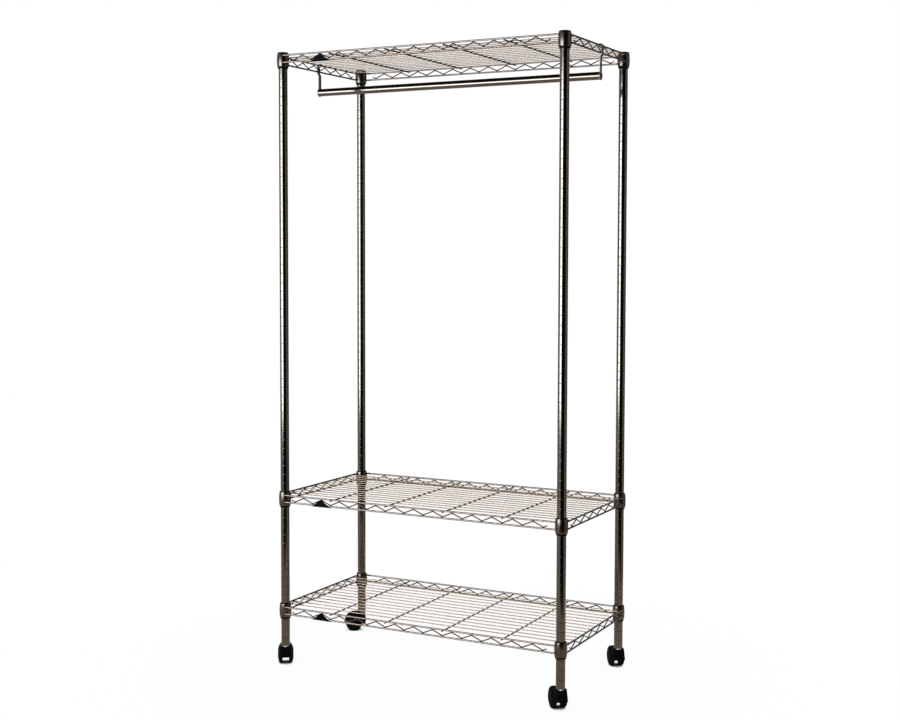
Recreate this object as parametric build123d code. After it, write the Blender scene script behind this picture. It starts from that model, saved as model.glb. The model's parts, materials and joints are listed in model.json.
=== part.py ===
from build123d import *
from math import cos, radians, sin
import os

# A rolling clothes rack: four grooved posts on twin-wheel casters, three welded wire shelves wedged
# onto the posts by tapered sleeves, and a hanging rod hooked over the side rails of the top shelf.
# Millimetres. X runs along the rack, Y to the back, Z up. The pieces are drawn about the middle of the
# four posts, and written with the origin on the floor under the middle of the rack's box, casters included.
origin_shift_x = 17.37
origin_shift_y = -16.67

# Posts
post_spacing_x = 876.0
post_spacing_y = 432.0
post_diameter = 25.4
post_wall = 1.2
groove_pitch = 25.4
groove_depth = 0.6
groove_width = 2.6
groove_floor = 1.2
section_pitches = 34
post_top_trim = 3.2
cap_height = 3.0
cap_edge_radius = 2.4
cap_plug_length = 12.0
insert_length = 22.0
thread_diameter = 10.0
thread_clearance = 0.05
joint_stud_length = 38.0

# Grooves that carry the shelves, counted from the foot of the post
shelf_grooves = {"top": 2 * section_pitches - 1, "middle": 17, "bottom": 4}

# Sleeves and collars, with heights measured from the carrying groove
sleeve_top = 25.0
sleeve_height = 46.0
sleeve_top_wall = 1.25
sleeve_bottom_wall = 2.25
sleeve_crown = 0.03
sleeve_fit = 0.05
sleeve_rib = 0.4
sleeve_rib_width = 1.2
sleeve_arc = 174.0
collar_below_sleeve_top = 0.8
collar_above_sleeve_bottom = 4.6
collar_top_wall = 1.9
collar_waist_wall = 3.25
collar_bottom_wall = 1.55
collar_waist_share = 0.55
collar_fit = 0.05

# Shelf wires, with rail heights measured from the carrying groove
rail_diameter = 5.0
rail_inset = 2.8
rail_end_gap = 10.0
upper_rail_height = 15.0
lower_rail_height = -5.0
truss_diameter = 3.4
truss_pitch = 60.4
truss_bend_radius = 4.0
truss_stub_share = 0.36
truss_end_gap = 34.0
deck_diameter = 3.0
deck_pitch = 30.8
deck_edge_gap = 25.0
cross_diameter = 4.0
cross_overhang = 2.5
cross_first_foot = 2
cross_foot_step = 3
weld_bite = 0.6

# Blank name plate on the front truss
plate_thickness = 1.6
plate_clearance = 0.1
plate_crown = 3.0
plate_foot = 1.5
plate_grip = 1.6
plate_rail_gap = 0.5
plate_cell = 1

# Hanging rod and its straps
rod_diameter = 22.0
rod_wall = 1.2
rod_drop = 81.6
strap_width = 15.0
strap_thickness = 2.5
strap_clearance = 0.3
strap_tip = 5.0
strap_slot = 5.0
strap_jog = 4.3
strap_jog_drop = 4.0
strap_jog_length = 8.0
strap_bend_radius = 4.0
strap_eye_margin = 1.0
rod_plug_length = 18.0
rod_screw_diameter = 5.0
rod_screw_clearance = 0.2
rod_screw_head_diameter = 10.0
rod_screw_head_height = 2.2
rod_screw_length = 14.0

# Casters
caster_trail = 24.0
wheel_diameter = 52.0
wheel_inner_gap = 19.0
wheel_tread_width = 8.0
wheel_dome = 4.0
wheel_dome_fullness = 0.72
wheel_edge = 1.5
wheel_hub_radius = 9.0
axle_diameter = 6.0
axle_cover = 3.0
axle_clearance = 0.05
well_clearance = 1.5
web_clearance = 0.5
web_boss_radius = 8.0
hood_shell = 4.0
hood_inset = 3.0
hood_lean = 6.5
hood_nose = 11.0
hood_nose_radius = 12.0
hood_back_radius = 8.0
hood_chin_drop = 3.5
hood_chin_setback = 3.0
hood_edge_radius = 4.0
hood_heel_angle = 6.0
hood_post_gap = 0.5
flange_across_flats = 19.0
flange_height = 3.2
flange_clearance = 0.5
swivel_pin_diameter = 9.0
swivel_clearance = 0.05
swivel_face_gap = 0.3
swivel_pin_length = 17.0
swivel_head_diameter = 13.0
swivel_head_height = 2.0
stem_length = 20.0

# Direction in which each caster trails from its post, in degrees from +X towards +Y
trail_angles = {
    "front_left": 124.0,
    "front_right": 130.6,
    "back_left": 209.0,
    "back_right": 128.0,
}

# Worked out from the sizes above
half_x = post_spacing_x / 2
half_y = post_spacing_y / 2
post_radius = post_diameter / 2
post_bore = post_radius - post_wall
section_length = section_pitches * groove_pitch
wheel_radius = wheel_diameter / 2
well_radius = wheel_radius + well_clearance
hood_top = wheel_radius + well_radius + hood_shell
caster_height = hood_top + hood_post_gap
post_top = caster_height + 2 * section_length - post_top_trim
joint_height = caster_height + section_length
sleeve_bore = post_radius + sleeve_fit
sleeve_bottom = sleeve_top - sleeve_height
collar_top = sleeve_top - collar_below_sleeve_top
collar_bottom = sleeve_bottom + collar_above_sleeve_bottom
collar_waist = collar_top - collar_waist_share * (collar_top - collar_bottom)
rail_radius = rail_diameter / 2
truss_feet_long = int((post_spacing_x - 2 * truss_end_gap) / truss_pitch) + 1
truss_feet_short = int((post_spacing_y - 2 * truss_end_gap) / truss_pitch) + 1
deck_count = int((post_spacing_y - 2 * deck_edge_gap) / deck_pitch) + 1
weld_reach = rail_radius + truss_diameter / 2 - weld_bite
cross_height = upper_rail_height - rail_radius - cross_diameter / 2 + weld_bite
deck_height = cross_height + cross_diameter / 2 + deck_diameter / 2 - weld_bite
plate_base = truss_pitch
wheel_face = wheel_inner_gap / 2 + wheel_edge + wheel_tread_width + wheel_dome
axle_half = wheel_face - axle_cover - web_clearance
hood_front = well_radius + hood_nose - caster_trail
hood_half = wheel_face - hood_inset
hood_chin_height = wheel_radius - hood_chin_drop
flange_radius = flange_across_flats / 2 / cos(radians(30))
hood_seat = caster_height - flange_height - swivel_face_gap
swivel_head_top = hood_seat + swivel_face_gap - swivel_pin_length
web_half = wheel_inner_gap / 2 - web_clearance
corners = {
    "front_left": (-half_x, -half_y),
    "front_right": (half_x, -half_y),
    "back_left": (-half_x, half_y),
    "back_right": (half_x, half_y),
}


def save(name, *solids):
    """Write one node: a single solid, or a group of like solids."""
    placed = [Pos(origin_shift_x, origin_shift_y, 0) * solid for solid in solids]
    shape = placed[0] if len(placed) == 1 else Compound(children=placed)
    export_step(shape, f"parts/{name}.step")


def turned(points):
    """Solid turned about Z from an outline of (radius, height) points."""
    outline = Polyline(*[(r, 0, z) for r, z in points], close=True)
    return revolve(make_face(outline), Axis.Z).solid()


def rod_along(axis, start, end, radius):
    """Round wire of the given radius from start to end, parallel to an axis."""
    length = (Vector(end) - Vector(start)).length
    return extrude(Plane(origin=start, z_dir=axis) * Circle(radius), length).solid()


def at_corners(solid):
    """One copy of a solid on each post's axis."""
    return [Pos(x, y, 0) * solid for x, y in corners.values()]


# Posts

def post_section(length):
    """Tube of a given length with a ring groove at every pitch between its ends."""
    outer = [(post_radius, 0)]
    for step in range(1, section_pitches):
        z = step * groove_pitch
        outer.append((post_radius, z - groove_width / 2))
        outer.append((post_radius - groove_depth, z - groove_floor / 2))
        outer.append((post_radius - groove_depth, z + groove_floor / 2))
        outer.append((post_radius, z + groove_width / 2))
    outer.append((post_radius, length))
    return turned(outer + [(post_bore, length), (post_bore, 0)])


def threaded_insert():
    """Ring pressed into a tube end, standing on its lower face."""
    bore = thread_diameter / 2 + thread_clearance
    return turned([(bore, 0), (post_bore, 0), (post_bore, insert_length), (bore, insert_length)])


def post_cap():
    """Low cap with a rounded edge and a plug, its underside on the post's end."""
    along = (Align.CENTER, Align.CENTER, Align.MIN)
    head = Cylinder(post_radius, cap_height, align=along)
    head = fillet(head.edges().group_by(Axis.Z)[-1], cap_edge_radius)
    plug = Pos(0, 0, -cap_plug_length) * Cylinder(post_bore, cap_plug_length, align=along)
    return (head + plug).solid()


def make_posts():
    lower = post_section(section_length)
    upper = post_section(section_length - post_top_trim)
    insert = threaded_insert()
    stud = Pos(0, 0, joint_height) * Cylinder(thread_diameter / 2, joint_stud_length)
    for corner, (x, y) in corners.items():
        save(f"post_lower_{corner}", Pos(x, y, caster_height) * lower)
        save(f"post_upper_{corner}", Pos(x, y, joint_height) * upper)
    joint_inserts = at_corners(Pos(0, 0, joint_height) * insert)
    joint_inserts += at_corners(Pos(0, 0, joint_height - insert_length) * insert)
    save("post_joint_inserts", *joint_inserts)
    save("post_joint_studs", *at_corners(stud.solid()))
    save("post_foot_sockets", *at_corners(Pos(0, 0, caster_height) * insert))
    save("post_caps", *at_corners(Pos(0, 0, post_top) * post_cap()))


# Sleeves and collars

def sleeve_radius(height):
    """Outer radius of the tapered sleeve at a height above its groove."""
    share = (sleeve_top - height) / sleeve_height
    return sleeve_bore + sleeve_top_wall + share * (sleeve_bottom_wall - sleeve_top_wall)


def collar_bore(height):
    """Inner radius of the collar at a height above its groove."""
    return sleeve_radius(height) + collar_fit


collar_waist_radius = collar_bore(collar_waist) + collar_waist_wall
rail_plane_x = half_x + collar_waist_radius - rail_inset
rail_plane_y = half_y + collar_waist_radius - rail_inset


def sleeve_half():
    """Half of a tapered split sleeve; its inner rib sits in the post's groove at height 0."""
    tip = post_radius - sleeve_rib
    half_rib = sleeve_rib_width / 2
    slope = sleeve_bore - tip
    middle = (sleeve_top + sleeve_bottom) / 2
    low_edge = (sleeve_radius(sleeve_bottom), 0, sleeve_bottom)
    high_edge = (sleeve_radius(sleeve_top), 0, sleeve_top)
    taper = ThreePointArc(low_edge, (sleeve_radius(middle) + sleeve_crown, 0, middle), high_edge)
    bore = Polyline(
        high_edge,
        (sleeve_bore, 0, sleeve_top),
        (sleeve_bore, 0, half_rib + slope),
        (tip, 0, half_rib),
        (tip, 0, -half_rib),
        (sleeve_bore, 0, -half_rib - slope),
        (sleeve_bore, 0, sleeve_bottom),
        low_edge,
    )
    return revolve(make_face([taper, bore]), Axis.Z, revolution_arc=sleeve_arc).solid()


def collar():
    """Barrel-shaped collar with a bore that follows the sleeve's taper."""
    top_bore = collar_bore(collar_top)
    bottom_bore = collar_bore(collar_bottom)
    top_edge = (top_bore + collar_top_wall, 0, collar_top)
    bottom_edge = (bottom_bore + collar_bottom_wall, 0, collar_bottom)
    barrel = ThreePointArc(top_edge, (collar_waist_radius, 0, collar_waist), bottom_edge)
    bore = Polyline(bottom_edge, (bottom_bore, 0, collar_bottom), (top_bore, 0, collar_top), top_edge)
    return revolve(make_face([barrel, bore]), Axis.Z).solid()


# Shelf wires, built with the carrying groove at height 0

def shelf_rails():
    """Upper and lower rails along the four edges, each running from collar to collar."""
    end_x = half_x - rail_end_gap
    end_y = half_y - rail_end_gap
    rails = []
    for z in (upper_rail_height, lower_rail_height):
        for side in (-1, 1):
            y = side * rail_plane_y
            x = side * rail_plane_x
            rails.append(rod_along((1, 0, 0), (-end_x, y, z), (end_x, y, z), rail_radius))
            rails.append(rod_along((0, 1, 0), (x, -end_y, z), (x, end_y, z), rail_radius))
    return rails


def foot_x(index):
    """Position along the rack of a foot of the long truss, counted from the left."""
    return (index - (truss_feet_long - 1) / 2) * truss_pitch


def truss_wire(feet):
    """Zigzag wire along X between the rails, with a cut-off leg beyond each end foot."""
    low = lower_rail_height + weld_reach
    high = upper_rail_height - weld_reach
    half = truss_pitch / 2
    end_foot = (feet - 1) * half
    stub_x = end_foot + truss_stub_share * half
    stub_z = low + truss_stub_share * (high - low)
    points = [(-stub_x, 0, stub_z)]
    for step in range(2 * feet - 1):
        points.append((step * half - end_foot, 0, high if step % 2 else low))
    points.append((stub_x, 0, stub_z))
    path = FilletPolyline(*points, radius=truss_bend_radius)
    section = Plane(origin=path @ 0, z_dir=path % 0) * Circle(truss_diameter / 2)
    return sweep(section, path=path).solid()


def shelf_trusses():
    """Zigzag wires of the front, back, left and right edges."""
    long_wire = truss_wire(truss_feet_long)
    short_wire = Rot(0, 0, 90) * truss_wire(truss_feet_short)
    trusses = []
    for side in (-1, 1):
        trusses.append(Pos(0, side * rail_plane_y, 0) * long_wire)
        trusses.append(Pos(side * rail_plane_x, 0, 0) * short_wire)
    return trusses


def deck_wires():
    """Parallel wires along X that carry the load, welded to the side rails at their ends."""
    end = rail_plane_x - rail_radius + weld_bite
    wires = []
    for index in range(deck_count):
        y = (index - (deck_count - 1) / 2) * deck_pitch
        left = (-end, y, deck_height)
        right = (end, y, deck_height)
        wires.append(rod_along((1, 0, 0), left, right, deck_diameter / 2))
    return wires


def cross_wires():
    """Wires from front to back under the deck and the long rails, above feet of the truss."""
    end = rail_plane_y + cross_overhang
    wires = []
    for foot in range(cross_first_foot, truss_feet_long - cross_first_foot, cross_foot_step):
        x = foot_x(foot)
        front = (x, -end, cross_height)
        back = (x, end, cross_height)
        wires.append(rod_along((0, 1, 0), front, back, cross_diameter / 2))
    return wires


def name_plate():
    """Blank three-sided plate in front of the front truss, clipped around the lower rail."""
    inner = rail_radius + plate_clearance
    outer = inner + plate_thickness
    top = upper_rail_height - rail_radius - plate_rail_gap
    foot = lower_rail_height - outer
    clip = Circle(outer) - Circle(inner)
    clip &= Pos(0, (plate_grip - outer) / 2) * Rectangle(2 * outer, plate_grip + outer)
    face = Pos(-(inner + outer) / 2, (top + lower_rail_height) / 2)
    face *= Rectangle(plate_thickness, top - lower_rail_height)
    face += Pos(0, lower_rail_height) * clip
    clipped = extrude(Plane.YZ * face, plate_base / 2, both=True)
    outline = Polyline(
        (-plate_base / 2, foot),
        (plate_base / 2, foot),
        (plate_base / 2, foot + plate_foot),
        (plate_crown / 2, top),
        (-plate_crown / 2, top),
        (-plate_base / 2, foot + plate_foot),
        close=True,
    )
    prism = extrude(Plane.XZ * make_face(outline), 2 * outer, both=True)
    plate_x = (foot_x(plate_cell) + foot_x(plate_cell + 1)) / 2
    return Pos(plate_x, -rail_plane_y, 0) * (clipped & prism).solid()


def make_shelves():
    halves = [sleeve_half(), Rot(0, 0, 180) * sleeve_half()]
    ring = collar()
    for shelf, groove in shelf_grooves.items():
        lift = Pos(0, 0, caster_height + groove * groove_pitch)
        save(f"sleeves_{shelf}", *[lift * piece for half in halves for piece in at_corners(half)])
        save(f"collars_{shelf}", *[lift * piece for piece in at_corners(ring)])
        save(f"rails_{shelf}", *[lift * wire for wire in shelf_rails()])
        save(f"trusses_{shelf}", *[lift * wire for wire in shelf_trusses()])
        save(f"deck_wires_{shelf}", *[lift * wire for wire in deck_wires()])
        save(f"cross_wires_{shelf}", *[lift * wire for wire in cross_wires()])
        save(f"name_plate_{shelf}", lift * name_plate())


# Hanging rod

top_rail = caster_height + shelf_grooves["top"] * groove_pitch + upper_rail_height
bottom_rail = top_rail - upper_rail_height + lower_rail_height
rod_height = top_rail - rod_drop
hook_radius = rail_radius + strap_clearance + strap_thickness / 2
strap_leg_x = rail_plane_x + hook_radius - strap_jog
rod_end = strap_leg_x - strap_thickness / 2


def hook_strap():
    """Flat strap: a hook over the side rail, a jog inboard below the truss and a round eye at the rod."""
    inner_x = rail_plane_x - hook_radius
    outer_x = rail_plane_x + hook_radius
    jog_top = bottom_rail - strap_jog_drop
    jog_bottom = jog_top - strap_jog_length
    tip = Line((inner_x, 0, top_rail - strap_tip), (inner_x, 0, top_rail))
    hook_top = (rail_plane_x, 0, top_rail + hook_radius)
    bend = ThreePointArc((inner_x, 0, top_rail), hook_top, (outer_x, 0, top_rail))
    leg = FilletPolyline(
        (outer_x, 0, top_rail),
        (outer_x, 0, jog_top),
        (strap_leg_x, 0, jog_bottom),
        (strap_leg_x, 0, rod_height),
        radius=strap_bend_radius,
    )
    path = Wire([tip, bend] + list(leg.edges()))
    start = Plane(origin=path @ 0, x_dir=(0, 1, 0), z_dir=(0, 0, 1))
    strap = sweep(start * Rectangle(strap_width, strap_thickness), path=path)
    eye_place = Pos(strap_leg_x, 0, rod_height) * Rot(0, 90, 0)
    strap += eye_place * Cylinder(rod_diameter / 2 + strap_eye_margin, strap_thickness)
    slot_height = strap_tip + rail_radius
    slot = Box(2 * strap_thickness, strap_slot, slot_height, align=(Align.CENTER, Align.CENTER, Align.MIN))
    strap -= Pos(inner_x, 0, top_rail - strap_tip) * slot
    screw_hole = rod_screw_diameter / 2 + rod_screw_clearance
    strap -= eye_place * Cylinder(screw_hole, 2 * strap_thickness)
    return strap.solid()


def rod_plug():
    """Plug in the rod's end, threaded for the strap's screw, at the right-hand end."""
    plug = Cylinder(rod_diameter / 2 - rod_wall, rod_plug_length)
    plug -= Cylinder(rod_screw_diameter / 2, rod_plug_length)
    return Pos(rod_end - rod_plug_length / 2, 0, rod_height) * Rot(0, 90, 0) * plug.solid()


def rod_screw():
    """Pan-head screw through the right-hand strap into the plug."""
    base = strap_leg_x + strap_thickness / 2
    along = (Align.CENTER, Align.CENTER, Align.MIN)
    head = Cylinder(rod_screw_head_diameter / 2, rod_screw_head_height, align=along)
    head = fillet(head.edges().group_by(Axis.Z)[-1], rod_screw_head_height / 2)
    shank = Pos(0, 0, -rod_screw_length) * Cylinder(rod_screw_diameter / 2, rod_screw_length, align=along)
    return Pos(base, 0, rod_height) * Rot(0, 90, 0) * (head + shank).solid()


def make_hanging_rod():
    tube = Circle(rod_diameter / 2) - Circle(rod_diameter / 2 - rod_wall)
    tube = extrude(Plane.YZ * tube, rod_end, both=True)
    save("hang_rod_tube", Pos(0, 0, rod_height) * tube.solid())
    to_left = Rot(0, 0, 180)
    strap = hook_strap()
    save("hang_strap_right", strap)
    save("hang_strap_left", to_left * strap)
    save("hang_rod_plugs", rod_plug(), to_left * rod_plug())
    save("hang_rod_screws", rod_screw(), to_left * rod_screw())


# Casters, built on the stem's axis with the floor at height 0 and trailing towards +X

def caster_stem():
    """Threaded stem with a hexagon flange, and the swivel pin riveted over under the hood."""
    flange_bottom = caster_height - flange_height
    along = (Align.CENTER, Align.CENTER, Align.MIN)
    stem = Pos(0, 0, caster_height) * Cylinder(thread_diameter / 2, stem_length, align=along)
    stem += Pos(0, 0, flange_bottom) * extrude(RegularPolygon(flange_radius, 6), flange_height)
    stem += Pos(0, 0, swivel_head_top) * Cylinder(swivel_pin_diameter / 2, swivel_pin_length, align=along)
    head_bottom = swivel_head_top - swivel_head_height
    stem += Pos(0, 0, head_bottom) * Cylinder(swivel_head_diameter / 2, swivel_head_height, align=along)
    return stem.solid()


def hood_side():
    """Side outline of the hood: front, flat crown, round back over the wheels and a boss at the axle."""
    shell = well_radius + hood_shell
    heel = radians(hood_heel_angle)
    crown_end = (caster_trail, hood_top)
    back = (caster_trail + shell * cos(radians(45)), wheel_radius + shell * sin(radians(45)))
    heel_end = (caster_trail + shell * cos(heel), wheel_radius + shell * sin(heel))
    boss = wheel_radius - web_boss_radius
    arc = ThreePointArc(crown_end, back, heel_end)
    rest = Polyline(
        heel_end,
        (caster_trail + web_boss_radius, boss),
        (caster_trail - web_boss_radius, boss),
        (-hood_front + hood_chin_setback, hood_chin_height),
        (-hood_front, hood_chin_height + web_boss_radius),
        (-hood_front, hood_top),
        crown_end,
    )
    return make_face([arc, rest])


def hood_plan():
    """Plan outline of the hood: wide round nose, flat sides and a rounded back."""
    back = caster_trail + well_radius + hood_shell
    outline = Pos((back - hood_front) / 2, 0) * Rectangle(back + hood_front, 2 * hood_half)
    outline = fillet(outline.vertices().group_by(Axis.X)[0], hood_nose_radius)
    return fillet(outline.vertices().group_by(Axis.X)[-1], hood_back_radius)


def hood_body():
    """Solid outside of the hood: sides that lean inwards above the axle, and a rounded rim."""
    plan = hood_plan()
    sides = extrude(plan, wheel_radius)
    sides += Pos(0, 0, wheel_radius) * extrude(plan, hood_top, taper=hood_lean)
    body = sides & extrude(Plane.XZ * hood_side(), wheel_face, both=True)
    heel = wheel_radius + (well_radius + hood_shell) * sin(radians(hood_heel_angle))
    rim = body.edges().filter_by(lambda edge: edge.center().Z > heel + hood_edge_radius)
    seams = rim.filter_by(GeomType.LINE).filter_by(Plane.XY, reverse=True)
    return fillet([edge for edge in rim if edge not in seams], hood_edge_radius)


def caster_hood():
    """Hood with a web between the wheels, two open wheel wells, a seat for the flange and two bores."""
    body = hood_body()
    across = Rot(90, 0, 0)
    axle_place = Pos(caster_trail, 0, wheel_radius)
    well = Cylinder(well_radius, 2 * wheel_face)
    for side in (-1, 1):
        body -= axle_place * Pos(0, side * (web_half + wheel_face), 0) * across * well
    body -= axle_place * across * Cylinder(axle_diameter / 2, 2 * wheel_face)
    up = (Align.CENTER, Align.CENTER, Align.MIN)
    seat = flange_radius + flange_clearance
    body -= Pos(0, 0, hood_seat) * Cylinder(seat, caster_height, align=up)
    body -= Pos(-hood_front, 0, hood_seat) * Box(2 * hood_front, 2 * seat, caster_height, align=up)
    bore = swivel_pin_diameter / 2 + swivel_clearance
    body -= Cylinder(bore, 2 * caster_height)
    pocket_radius = swivel_head_diameter / 2 + swivel_face_gap
    body -= Cylinder(pocket_radius, swivel_head_top + swivel_face_gap, align=up)
    return body.solid()


def caster_wheel():
    """Wheel with a rounded tread, a domed outer face and a blind bore, about the axle, outer face to +Z."""
    inner = wheel_inner_gap / 2
    shoulder = inner + wheel_edge + wheel_tread_width
    bore = axle_diameter / 2 + axle_clearance
    blind = axle_half + web_clearance
    rim = wheel_radius - wheel_edge
    edge = wheel_edge * cos(radians(45))
    inner_tread = (wheel_radius, inner + wheel_edge)
    inner_edge = ThreePointArc((rim, inner), (rim + edge, inner_tread[1] - edge), inner_tread)
    dome_middle = ((wheel_radius + wheel_hub_radius) / 2, shoulder + wheel_dome_fullness * wheel_dome)
    dome = ThreePointArc((wheel_radius, shoulder), dome_middle, (wheel_hub_radius, wheel_face))
    lines = [
        Line(inner_tread, (wheel_radius, shoulder)),
        Polyline((wheel_hub_radius, wheel_face), (0, wheel_face), (0, blind), (bore, blind)),
        Polyline((bore, blind), (bore, inner), (rim, inner)),
    ]
    outline = make_face([inner_edge, dome] + lines)
    return revolve(Plane.XZ * outline, Axis.Z).solid()


def make_casters():
    stem = caster_stem()
    hood = caster_hood()
    wheel = caster_wheel()
    axle_place = Pos(caster_trail, 0, wheel_radius)
    axle = axle_place * Rot(90, 0, 0) * Cylinder(axle_diameter / 2, 2 * axle_half)
    left_wheel = axle_place * Rot(-90, 0, 0) * wheel
    right_wheel = axle_place * Rot(90, 0, 0) * wheel
    for corner, (x, y) in corners.items():
        place = Pos(x, y, 0) * Rot(0, 0, trail_angles[corner])
        save(f"caster_stem_{corner}", Pos(x, y, 0) * stem)
        save(f"caster_hood_{corner}", place * hood)
        save(f"caster_axle_{corner}", place * axle.solid())
        save(f"wheel_left_{corner}", place * left_wheel)
        save(f"wheel_right_{corner}", place * right_wheel)


os.makedirs("parts", exist_ok=True)
make_posts()
make_shelves()
make_hanging_rod()
make_casters()
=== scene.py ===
import json
from math import cos, pi, radians, sin, tau

import bpy
import numpy as np
from bpy.props import FloatProperty, FloatVectorProperty, IntProperty, PointerProperty
from mathutils import Matrix, Vector


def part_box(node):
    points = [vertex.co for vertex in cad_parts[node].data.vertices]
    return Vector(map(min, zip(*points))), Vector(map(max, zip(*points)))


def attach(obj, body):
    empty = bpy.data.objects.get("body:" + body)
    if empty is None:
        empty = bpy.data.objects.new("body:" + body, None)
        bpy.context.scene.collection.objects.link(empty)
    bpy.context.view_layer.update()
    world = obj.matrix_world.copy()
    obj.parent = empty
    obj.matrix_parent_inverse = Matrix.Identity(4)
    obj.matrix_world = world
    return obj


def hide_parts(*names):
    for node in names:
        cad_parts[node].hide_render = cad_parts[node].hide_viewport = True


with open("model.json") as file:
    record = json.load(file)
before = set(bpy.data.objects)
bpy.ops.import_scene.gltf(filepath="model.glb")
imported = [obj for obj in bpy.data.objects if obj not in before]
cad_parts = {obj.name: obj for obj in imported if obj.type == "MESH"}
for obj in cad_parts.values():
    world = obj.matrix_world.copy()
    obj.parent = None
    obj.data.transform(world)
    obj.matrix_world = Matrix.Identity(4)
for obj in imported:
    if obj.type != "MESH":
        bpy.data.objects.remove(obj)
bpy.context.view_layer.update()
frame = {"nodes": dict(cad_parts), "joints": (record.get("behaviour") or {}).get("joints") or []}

bl_info = {
    "name": "Rolling Clothes Rack",
    "version": (1, 0, 0),
    "blender": (4, 5, 0),
    "location": "3D View > Sidebar > Clothes Rack",
    "description": "Finished surfaces, plating and studio for a rolling wire clothes rack",
    "category": "Add Mesh",
}

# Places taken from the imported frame, in metres
joints = {joint["name"]: joint for joint in frame["joints"]}
CORNERS = ("front_left", "front_right", "back_left", "back_right")
SHELVES = ("top", "middle", "bottom")
SHELF_BODY = {"top": "frame", "middle": "middle_shelf", "bottom": "frame"}
UP = np.array((0.0, 0.0, 1.0))
ALONG = np.array((1.0, 0.0, 0.0))
BACK = np.array((0.0, 1.0, 0.0))
post_axis = {corner: np.array(joints[f"swivel_{corner}"]["pos_m"][:2]) for corner in CORNERS}
rack_middle = np.mean(list(post_axis.values()), axis=0)
half_span = (post_axis["back_right"] - post_axis["front_left"]) / 2
post_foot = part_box("post_lower_front_left")[0].z
post_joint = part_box("post_upper_front_left")[0].z
post_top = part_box("post_upper_front_left")[1].z


def length(name, default, description):
    """A size in metres for a property group."""
    return FloatProperty(name=name, description=description, default=default, unit="LENGTH", precision=4)


def turning(name, default, description):
    """An angle, given in degrees, for a property group."""
    return FloatProperty(name=name, description=description, default=radians(default), subtype="ANGLE")


def portion(name, default, description):
    """A share for a property group."""
    return FloatProperty(name=name, description=description, default=default, subtype="FACTOR")


def number_of(name, default, description):
    """A count for a property group."""
    return IntProperty(name=name, description=description, default=default)


def colour(name, default, description):
    """A colour for a property group."""
    return FloatVectorProperty(
        name=name, description=description, default=default, size=3, subtype="COLOR", min=0.0, max=1.0
    )


class RackPosts(bpy.types.PropertyGroup):
    diameter: length("Post Diameter", 0.0254, "Outside of the post tubes")
    wall: length("Post Wall", 0.0012, "Wall of the post tubes")
    pitch: length("Groove Pitch", 0.0254, "Distance between two ring grooves")
    groove_depth: length("Groove Depth", 0.00006, "Depth of a ring groove")
    groove_width: length("Groove Width", 0.0018, "Width of a ring groove at the surface")
    end_bevel: length("End Bevel", 0.0004, "Bevel on the cut ends of the tubes")
    cap_height: length("Cap Height", 0.003, "Height of the caps on the post tops")
    cap_round: length("Cap Rounding", 0.0024, "Radius of the caps' upper edge")


class RackShelves(bpy.types.PropertyGroup):
    collar_top: length("Collar Top", 0.0242, "Top of the collar above its groove")
    collar_bottom: length("Collar Bottom", -0.0164, "Bottom of the collar below its groove")
    collar_foot: length("Collar Foot Radius", 0.0165, "Outer radius at the bottom of the collar")
    collar_waist: length("Collar Waist", 0.00187, "Height of the collar's widest place above its groove")
    collar_waist_radius: length("Collar Waist Radius", 0.0178, "Outer radius at the widest place")
    collar_head: length("Collar Head Radius", 0.01597, "Outer radius at the top of the collar")
    sleeve_top: length("Sleeve Top", 0.025, "Top of the split sleeve above its groove")
    sleeve_bottom: length("Sleeve Bottom", -0.021, "Bottom of the split sleeve below its groove")
    sleeve_foot: length("Sleeve Foot Radius", 0.0150, "Outer radius at the bottom of the sleeve")
    sleeve_head: length("Sleeve Head Radius", 0.0140, "Outer radius at the top of the sleeve")
    sleeve_arc: turning("Sleeve Arc", 174, "Angle that one sleeve half covers")
    rail_diameter: length("Rail Diameter", 0.005, "Wire of the upper and lower rails")
    rail_offset: length("Rail Offset", 0.0150028, "Rails outside the line between two posts")
    rail_end: length("Rail End Gap", 0.010, "Distance of a rail's end from the post's axis")
    upper_rail: length("Upper Rail", 0.015, "Upper rail above the groove")
    lower_rail: length("Lower Rail", -0.005, "Lower rail below the groove")
    truss_diameter: length("Zigzag Diameter", 0.0034, "Wire of the zigzag between the rails")
    truss_pitch: length("Zigzag Pitch", 0.0604, "Distance between two feet of the zigzag")
    truss_bend: length("Zigzag Bend", 0.004, "Radius of the zigzag's bends")
    truss_stub: portion("Zigzag Stub", 0.36, "Share of a leg left beyond each end foot")
    feet_long: number_of("Feet Along", 14, "Feet of the zigzag on a long edge")
    feet_short: number_of("Feet Across", 7, "Feet of the zigzag on a short edge")
    deck_diameter: length("Deck Wire Diameter", 0.003, "Wires that carry the load")
    deck_pitch: length("Deck Wire Pitch", 0.0308, "Distance between two deck wires")
    deck_count: number_of("Deck Wires", 13, "Deck wires on a shelf")
    deck_height: length("Deck Height", 0.014, "Middle of the deck wires above the groove")
    cross_diameter: length("Cross Wire Diameter", 0.004, "Wires under the deck from front to back")
    cross_height: length("Cross Wire Height", 0.0111, "Middle of the cross wires above the groove")
    cross_overhang: length("Cross Wire Overhang", 0.0025, "Cross wires beyond the rails' middle")
    weld_bite: length("Weld Bite", 0.0006, "Depth to which welded wires sink into each other")


class RackRod(bpy.types.PropertyGroup):
    diameter: length("Rod Diameter", 0.022, "Outside of the hanging rod")
    wall: length("Rod Wall", 0.0012, "Wall of the hanging rod")
    screw_head: length("Screw Head", 0.010, "Diameter of the screw heads at the rod's ends")
    screw_height: length("Screw Head Height", 0.0022, "Height of the screw heads")


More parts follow.
